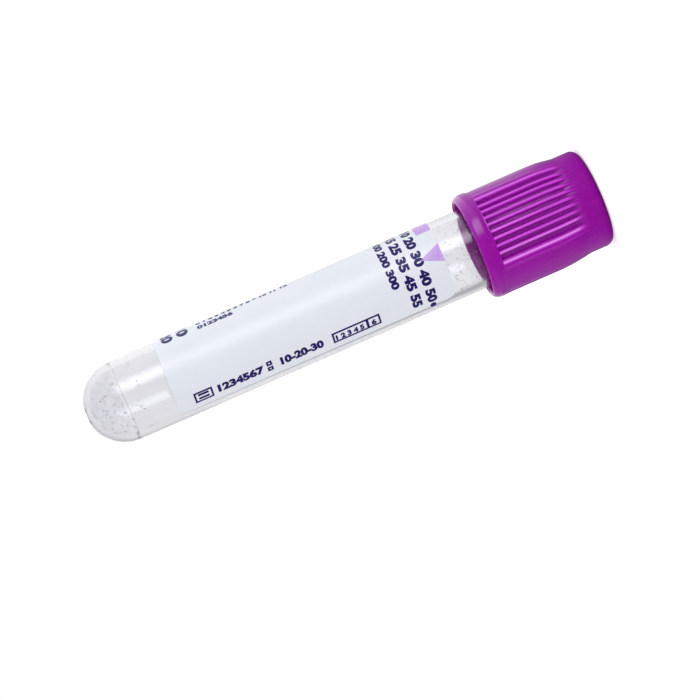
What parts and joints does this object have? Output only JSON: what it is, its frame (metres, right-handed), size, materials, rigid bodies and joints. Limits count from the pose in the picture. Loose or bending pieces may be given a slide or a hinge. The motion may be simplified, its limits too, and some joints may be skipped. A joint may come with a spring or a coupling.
{
  "type": "blood collection tube",
  "caption": "Clear round-bottomed sample tube with a wrapped label and a ribbed pull-off closure that holds a rubber stopper.",
  "frame": {"origin": "centre of the closure's flat top face, on which the tube stands", "axes": "+Z along the tube's axis from the closure to the round end; -Y is the front, where the wide group of ribs and the label's print are; the label's clear window is on the -X side"},
  "size_m": [0.0168, 0.0168, 0.0837],
  "materials": {
    "shield_plastic": "purple polypropylene, satin to glossy",
    "stopper_rubber": "dark purple moulded rubber, matt",
    "tube_plastic": "clear, polished, very slightly grey",
    "label_film": "white printed film, satin"
  },
  "bodies": {
    "closure": {"shield": "shield_plastic", "stopper": "stopper_rubber"},
    "tube": {"tube": "tube_plastic", "label": "label_film"}
  },
  "joints": [
    {"name": "pull_off", "type": "slide", "parent": "closure", "child": "tube", "axis": [0, 0, 1], "range_m": [0, 0.025]}
  ]
}
